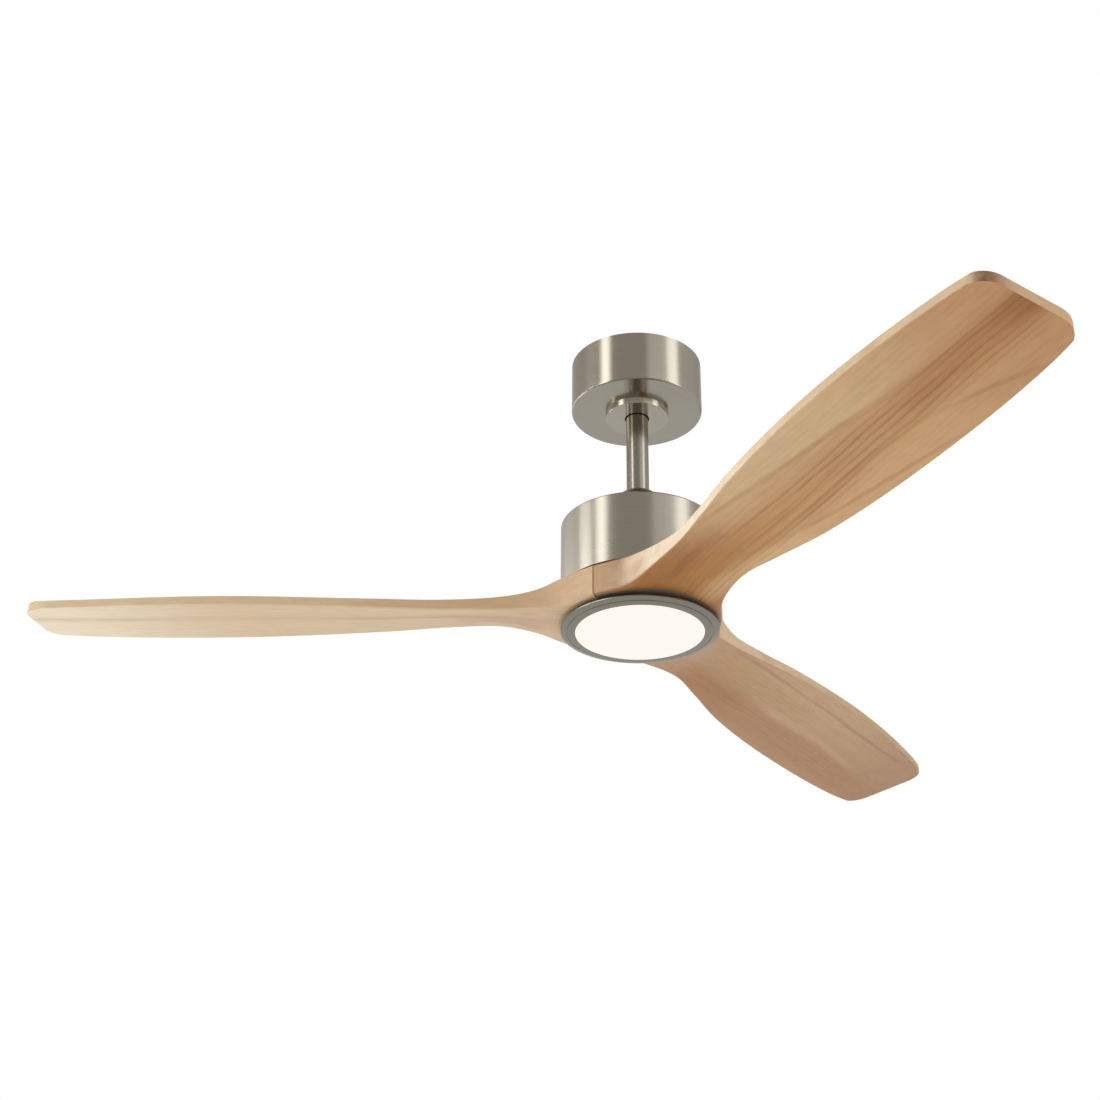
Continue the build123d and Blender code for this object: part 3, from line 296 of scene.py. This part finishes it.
def carved_wood(name, angle, seed, faces, side_tones_and_light, stripe, lines, streaks, stain, painted_shade):
    """Wood of one blade at an angle in degrees, worked out in metres along and across it.

    faces holds the tones of the root, leading side, trailing side and tip; the root's darker tone is partly
    the board's own colour and partly painted shade near the hub. side_tones_and_light holds those of the
    carved sides at the hub, neck and tip, partly the wood's colour and partly painted light and shade on the
    upright faces.
    stripe is its tone, depth, place across, slant and half width; lines their spacing, depth and share
    outside the stripe. Each streak has the stripe's five, and where along the blade it starts and ends. stain
    is the depth of the blotches at the root, and painted_shade that of the painted shade on the hub's
    underside round the light.
    """
    wood, start = new_finish(name, Coat_Roughness=0.35, Coat_Weight=0.1)
    root_tone_and_shade, leading_tone, trailing_tone, tip_tone = faces
    hub_side, neck_side, tip_side = side_tones_and_light
    stripe_tone, stripe_depth, stripe_place, stripe_slant, stripe_half_width = stripe
    line_spacing, line_depth, line_share = lines

    def in_blade(coordinate):
        """The point or the normal, turned so that X runs along the blade and Y across it."""
        vector = start.add("ShaderNodeTexCoord", output=coordinate)
        inputs = {"Vector": vector, "Angle": -math.radians(angle)}
        return start.add("ShaderNodeVectorRotate", {"rotation_type": "Z_AXIS"}, inputs).parts()

    along, across, height = in_blade("Object")
    facing_tip, _, facing_up = in_blade("Normal")

    def grain(along_by, across_by, detail, shift):
        """Random value, drawn out along the blade."""
        where = {"X": along * along_by + (seed + shift), "Y": across * across_by, "Z": height * across_by}
        return noise(start, start.add("ShaderNodeCombineXYZ", {}, where), 1.0, detail)

    sway = grain(4.0, 14.0, 2.0, 0.0) - 0.5                 # wandering of the grain
    board = grain(1.4, 22.0, 2.0, 23.0)                     # broad bands down the plank
    fade = grain(4.0, 70.0, 2.0, 31.0).step(0.30, 0.62)     # where lines and streaks come and go
    fibre = grain(30.0, 900.0, 3.0, 11.0) - 0.5             # finest fibres
    mottle = grain(45.0, 160.0, 3.0, 17.0) - 0.5            # small flecks
    blotch = grain(20.0, 40.0, 3.0, 41.0).step(0.45, 0.72)  # stains

    def beside(slant):
        """Place across the blade, followed along slanting and swaying grain."""
        return across + (along - MIDDLE) * slant + sway * SWAY

    def band(place, slant, half_width, begins=0.0, ends=1.0):
        """1 on the middle line of a band along the blade, falling to 0 at its edges and ends."""
        off = start.maths("ABSOLUTE", beside(slant) - place)
        begun = along.step(begins - END_FADE, begins + END_FADE)
        ended = along.step(ends - END_FADE, ends + END_FADE)
        return (1 - off.step(half_width * 0.25, half_width)) * (begun * (1 - ended))

    def growth(spacing, drift):
        """Lines that darken slowly and end sharply, as each year's growth does."""
        phase = start.maths("FRACT", beside(stripe_slant) / spacing + board * drift)
        return phase.step(0.30, 0.80) * (1 - phase.step(0.80, 1.0))

    # The broad faces: tones first, then stains, stripe, streaks and growth lines, with finer lines between.
    in_stripe = band(stripe_place, stripe_slant, stripe_half_width)
    dark_lines = (growth(line_spacing, 1.6) * 0.7 + growth(line_spacing * 0.41, 3.0) * 0.3) * fade
    tone = across.step(*FACE_CHANGE).blend(leading_tone, trailing_tone)
    tone = along.step(*TIP_FADE).blend(tone, tip_tone)
    trailing = across.step(*ROOT_EDGES) * TRAILING_SOONER
    leading = (0 - across).step(*ROOT_EDGES) * LEADING_SOONER
    # The root's darker tone is partly the board's own colour and partly painted shade near the hub.
    root = 1 - (along + (trailing + leading)).step(*ROOT_FADE)
    tone = root.blend(tone, root_tone_and_shade)
    tone = (root * blotch * stain).blend(tone, LINE_TONE)
    striped = in_stripe * stripe_depth * (0.6 + board * 0.8) + board.step(0.45, 0.8) * 0.15
    tone = striped.blend(tone, stripe_tone)
    for colour, depth, *place in streaks:
        tone = (band(*place) * (fade * 0.4 + 0.6) * depth).blend(tone, colour)
    lined = dark_lines * (in_stripe * (1 - line_share) + line_share) * line_depth
    tone = lined.blend(tone, LINE_TONE)

    # The carved sides, partly painted light and shade, the end at the tip and the painted shade on the hub's
    # underside.
    # The carved sides' tones are partly the wood's own colour and partly painted light and shade on the
    # upright faces.
    sides = along.step(*NECK_SIDES).blend(hub_side, neck_side)
    sides = along.step(*TIP_SIDES).blend(sides, tip_side)
    side_stain = blotch * (0.5 - along.step(*STAINED_SIDES) * 0.35) + dark_lines * 0.22
    sides = side_stain.blend(sides, stripe_tone)
    on_side = 1 - start.maths("ABSOLUTE", facing_up).step(0.35, 0.75)
    tone = on_side.blend(tone, sides)
    on_tip = facing_tip.step(0.35, 0.85)
    tone = on_tip.blend(tone, END_FACE)
    dark_end = on_tip * (1 - across.step(*DARK_END)) * (0.75 + mottle * 1.5)
    tone = dark_end.blend(tone, DARK_TIP_CORNER)
    # Painted shade: the hub's underside round the light is darkened, more on some blades than on others.
    below = 1 - height.step(hub_underside + 0.002, hub_underside + 0.004)
    near_light = 1 - from_axis(start).step(PAINTED_SHADE_R - 0.001, PAINTED_SHADE_R)
    tone = (below * near_light * painted_shade).blend(tone, PAINTED_HUB_SHADE)

    shade = 1 + fibre * FIBRE_DEPTH + mottle * MOTTLE_DEPTH
    shades = start.add("ShaderNodeCombineXYZ", {}, {"X": shade, "Y": shade, "Z": shade})
    start.add("ShaderNodeVectorMath", {"operation": "MULTIPLY"}, {0: tone, 1: shades}).feed("Base Color")
    (0.5 + fibre * 0.2 - dark_lines * 0.06).feed("Roughness")
    relief(fibre - dark_lines * 0.3, 0.08, 0.0005)
    return wood


pale_board = carved_wood(
    "wood_left", 180.0, 4.0,
    faces=(srgb(226, 193, 155), srgb(233, 202, 160), srgb(233, 202, 162), srgb(255, 238, 208)),
    side_tones_and_light=(srgb(230, 199, 157), srgb(215, 180, 141), srgb(225, 199, 160)),
    stripe=(srgb(218, 178, 130), 0.2, 0.010, 0.0, 0.016), lines=(0.008, 0.25, 0.4),
    streaks=(
        (srgb(192, 148, 108), 0.6, -0.008, 0.0, 0.022, 0.11, 0.19),
        (srgb(206, 168, 124), 0.5, 0.004, 0.02, 0.008, 0.18, 0.33),
        (srgb(208, 170, 122), 0.3, 0.010, 0.0, 0.004, 0.53, 0.68),
    ),
    stain=0.25, painted_shade=0.2,
)
finish_nodes(pale_board, "blade_1")
orange_board = carved_wood(
    "wood_right", 300.0, 9.5,
    faces=(srgb(178, 117, 56), srgb(225, 189, 145), srgb(223, 178, 127), srgb(206, 156, 106)),
    side_tones_and_light=(srgb(200, 152, 92), srgb(255, 236, 206), srgb(228, 197, 158)),
    stripe=(srgb(196, 137, 74), 0.54, 0.002, 0.030, 0.034), lines=(0.0066, 0.56, 0.18),
    streaks=(
        (srgb(132, 76, 32), 0.7, -0.005, -0.08, 0.007, 0.12, 0.14),
        (srgb(176, 120, 70), 0.55, -0.032, -0.073, 0.005, 0.22, 0.64),
        (srgb(206, 156, 104), 0.55, -0.020, -0.05, 0.021, 0.25, 0.64),
        (srgb(176, 121, 72), 0.45, 0.044, -0.14, 0.004, 0.22, 0.48),
        (srgb(176, 120, 72), 0.4, -0.017, -0.29, 0.005, 0.50, 0.62),
        (srgb(172, 110, 46), 0.4, -0.002, 0.020, 0.020, 0.48, 0.70),
        (srgb(150, 90, 28), 0.7, -0.008, 0.0, 0.024, 0.635, 0.74),
        (srgb(230, 190, 138), 0.7, 0.048, -0.09, 0.018, 0.09, 0.26),
        (srgb(160, 100, 52), 0.5, 0.0148, 0.030, 0.003, 0.16, 0.40),
        (srgb(160, 100, 52), 0.45, 0.0026, 0.045, 0.0026, 0.18, 0.38),
        (srgb(160, 100, 52), 0.4, 0.0188, 0.038, 0.0026, 0.26, 0.47),
    ),
    stain=0.3, painted_shade=1.0,
)
finish_nodes(orange_board, "blade_2")
brown_board = carved_wood(
    "wood_front", 60.0, 16.0,
    faces=(srgb(202, 158, 117), srgb(214, 176, 137), srgb(200, 155, 114), srgb(196, 153, 114)),
    side_tones_and_light=(srgb(232, 200, 164), srgb(232, 200, 162), srgb(214, 180, 142)),
    stripe=(srgb(190, 138, 96), 0.6, 0.026, 0.01, 0.034), lines=(0.0055, 0.24, 0.6),
    streaks=(
        (srgb(184, 128, 84), 0.6, 0.024, 0.0, 0.034, 0.14, 0.27),
        (srgb(158, 116, 80), 0.42, -0.0455, 0.035, 0.0036, 0.17, 0.60),
        (srgb(226, 192, 155), 0.5, 0.001, 0.0, 0.008, 0.30, 0.55),
        (srgb(208, 166, 116), 0.5, -0.025, 0.02, 0.012, 0.16, 0.36),
        (srgb(218, 188, 160), 0.5, 0.0, 0.0, 0.075, -0.1, 0.13),
    ),
    stain=0.1, painted_shade=1.0,
)
finish_nodes(brown_board, "blade_3")

# Light under the hub.
# The powder-coated pan is white in its dish, its flat outer part painted shade in near black for the gap over
# the trim ring. It holds a white lamp board with yellow lamps, behind an opal cover that glows warm white.
PAN_FLAT_R = 0.055           # the painted shade on the flat starts here, and shows as a dark gap over the trim ring
PAN_PAINTED_SHADE = srgb(74, 62, 52)
OPAL_EDGE = (0.060, 0.0715)  # the glow dims a little between these distances from the axis
pan, start = new_finish("pan_powder", Roughness=0.4)
peel = noise(start, object_point(start), 700.0, 2.0)
white = peel.blend(srgb(238, 238, 235), srgb(246, 246, 243))
# Painted shade: the pan's flat outer part is coloured near black to stand for the shadowed gap.
from_axis(start).step(PAN_FLAT_R - 0.001, PAN_FLAT_R).blend(white, PAN_PAINTED_SHADE).feed("Base Color")
relief(peel, 0.08, 0.0003)
finish_nodes(pan, "light_pan")

mask, _ = mottled("board_mask", 300.0, srgb(240, 240, 236), srgb(246, 246, 243), Roughness=0.4)
finish_nodes(mask, "led_board")

phosphor, _ = mottled("lamp_phosphor", 900.0, srgb(244, 214, 110), srgb(250, 230, 150), Roughness=0.3)
finish_nodes(phosphor, "leds")

opal, start = new_finish("opal_glow", Roughness=0.35, Emission_Strength=0.93)
edge = from_axis(start).step(*OPAL_EDGE)
edge.blend(srgb(84, 80, 74), srgb(110, 106, 98)).feed("Base Color")
edge.blend(srgb(251, 241, 235), srgb(248, 236, 226)).feed("Emission Color")
finish_nodes(opal, "diffuser")

# Trim ring round the light.
# Turned from the same nickel-plated metal, a shade darker, with lathe lines round its rounded face.
trim, start = new_finish("turned_trim", Metallic=1.0, Anisotropic=0.5, Anisotropic_Rotation=QUARTER_TURN)
lathe = brushed(start)
lathe.blend(srgb(142, 138, 126), srgb(158, 154, 141)).feed("Base Color")
(lathe * 0.06 + 0.28).feed("Roughness")
finish_nodes(trim, "trim_ring")

# Studio: pale floor, white surroundings, two tall soft lamps and weaker fills.
# The tall lamps stand either side of the camera, so that the round metal shows two bright bands. The camera
# sees the floor brighter than it is lit, and the metal mirrors it bright behind the fan and dark in front.
WHITE = (1.0, 1.0, 1.0, 1.0)
FLOOR_Z = -2.4
FLOOR_SIZE = 30.0
FLOOR_GLOW = 0.6                            # how far the camera sees the floor as white
FLOOR_IN_FRONT = (0.33, 0.32, 0.31, 1.0)    # the floor as the metal mirrors it
FLOOR_BEHIND = (0.7, 0.7, 0.7, 1.0)
ROOM_IN_FRONT = (0.40, 0.40, 0.40, 1.0)     # the room as it lights the fan
ROOM_BEHIND = (0.81, 0.81, 0.81, 1.0)
MIRRORED_ROOM = (0.46, 0.43, 0.40, 1.0)     # the room as the metal mirrors it
MIRRORED_RIGHT = (0.65, 0.62, 0.585, 1.0)
HUB = (0.0, 0.0, -0.25)

bpy.ops.mesh.primitive_plane_add(size=FLOOR_SIZE, location=(0.0, 0.0, FLOOR_Z))
floor = bpy.context.object
floor.name = "studio_floor"
paint, cloud = mottled("floor_paint", 3.0, srgb(236, 236, 234), srgb(241, 241, 239), Roughness=0.9)
glossy = cloud.add("ShaderNodeLightPath", output="Is Glossy Ray")
_, depth, _ = object_point(cloud).parts()
mirrored = depth.step(-2.0, 0.3).blend(FLOOR_IN_FRONT, FLOOR_BEHIND)
glow = glossy.add("ShaderNodeEmission", {}, {"Color": glossy.blend(WHITE, mirrored)})
shown = glossy.maths("MAXIMUM", glossy, glossy.other("Is Camera Ray") * FLOOR_GLOW)
lit = Wire(paint.node_tree, paint.node_tree.nodes["Principled BSDF"].outputs[0])
seen = glossy.add("ShaderNodeMixShader", {}, {0: shown, 1: lit, 2: glow})
paint.node_tree.links.new(seen.socket, paint.node_tree.nodes["Material Output"].inputs["Surface"])
floor.data.materials.append(paint)

world = bpy.data.worlds.new("studio_world")
bpy.context.scene.world = world
world.use_nodes = True
sky = Wire(world.node_tree)
side, depth, _ = sky.add("ShaderNodeTexCoord", output="Generated").parts()
rays = sky.add("ShaderNodeLightPath", output="Is Camera Ray")
mirrored = sky.maths("MAXIMUM", rays.other("Is Glossy Ray"), rays.other("Is Transmission Ray"))
room = depth.step(-0.4, 0.8).blend(ROOM_IN_FRONT, ROOM_BEHIND)
studio = side.step(0.55, 0.8).blend(MIRRORED_ROOM, MIRRORED_RIGHT)
studio = depth.step(0.7, 1.0).blend(studio, WHITE)
seen = rays.blend(mirrored.blend(room, studio), WHITE)
backdrop = world.node_tree.nodes["Background"]
world.node_tree.links.new(seen.socket, backdrop.inputs["Color"])
backdrop.inputs["Strength"].default_value = 1.0

for name, place, aim, width, height, watts in (
    ("left_softbox", (-1.864, -1.305, 0.0), HUB, 0.62, 3.6, 17.2),
    ("right_softbox", (2.078, -0.903, 0.0), HUB, 0.80, 3.6, 15.0),
    ("right_fill", (1.416, -1.812, 0.75), HUB, 1.4, 1.8, 3.5),
    ("left_card", (-1.85, 0.95, 0.25), HUB, 1.7, 0.9, 6.6),
    ("left_strip", (-2.07, -0.33, 0.52), HUB, 0.80, 0.40, 4.6),
    ("left_low", (-2.0, 0.5, -1.6), (-0.62, 0.0, -0.3), 1.2, 1.2, 12.2),
):
    lamp = bpy.data.lights.new(name, "AREA")
    lamp.shape = "RECTANGLE"
    lamp.size = width
    lamp.size_y = height
    lamp.energy = watts
    stand = bpy.data.objects.new(name, lamp)
    stand.location = place
    stand.rotation_euler = (Vector(aim) - Vector(place)).to_track_quat("-Z", "Y").to_euler()
    stand.visible_camera = False
    bpy.context.scene.collection.objects.link(stand)

# Camera where the photograph was taken, looking up at the fan.
# The frame is 1100 pixels square; the picture is cut off centre, so the lens is shifted a little.
FRAME_PX = 1100.0
FOCAL_PX = 1848.45
CENTRE_PX = (637.06, 547.10)
SENSOR_MM = 36.0
CAMERA_PLACE = (-0.001906, -1.818455, -1.189269)
PITCH = 0.482695
ROLL = -0.013718
right = Vector((1.0, 0.0, 0.0))
look = Vector((0.0, math.cos(PITCH), math.sin(PITCH)))
up = right.cross(look)
tilted_right = math.cos(ROLL) * right + math.sin(ROLL) * up
tilted_up = math.cos(ROLL) * up - math.sin(ROLL) * right
camera_data = bpy.data.cameras.new("camera")
camera_data.sensor_width = SENSOR_MM
camera_data.lens = FOCAL_PX * SENSOR_MM / FRAME_PX
camera_data.shift_x = (FRAME_PX / 2 - CENTRE_PX[0]) / FRAME_PX
camera_data.shift_y = (CENTRE_PX[1] - FRAME_PX / 2) / FRAME_PX
camera = bpy.data.objects.new("camera", camera_data)
bpy.context.scene.collection.objects.link(camera)
axes = Matrix((tilted_right, tilted_up, -look)).transposed().to_4x4()
camera.matrix_world = Matrix.Translation(CAMERA_PLACE) @ axes
bpy.context.scene.camera = camera
bpy.context.scene.view_settings.view_transform = "Standard"
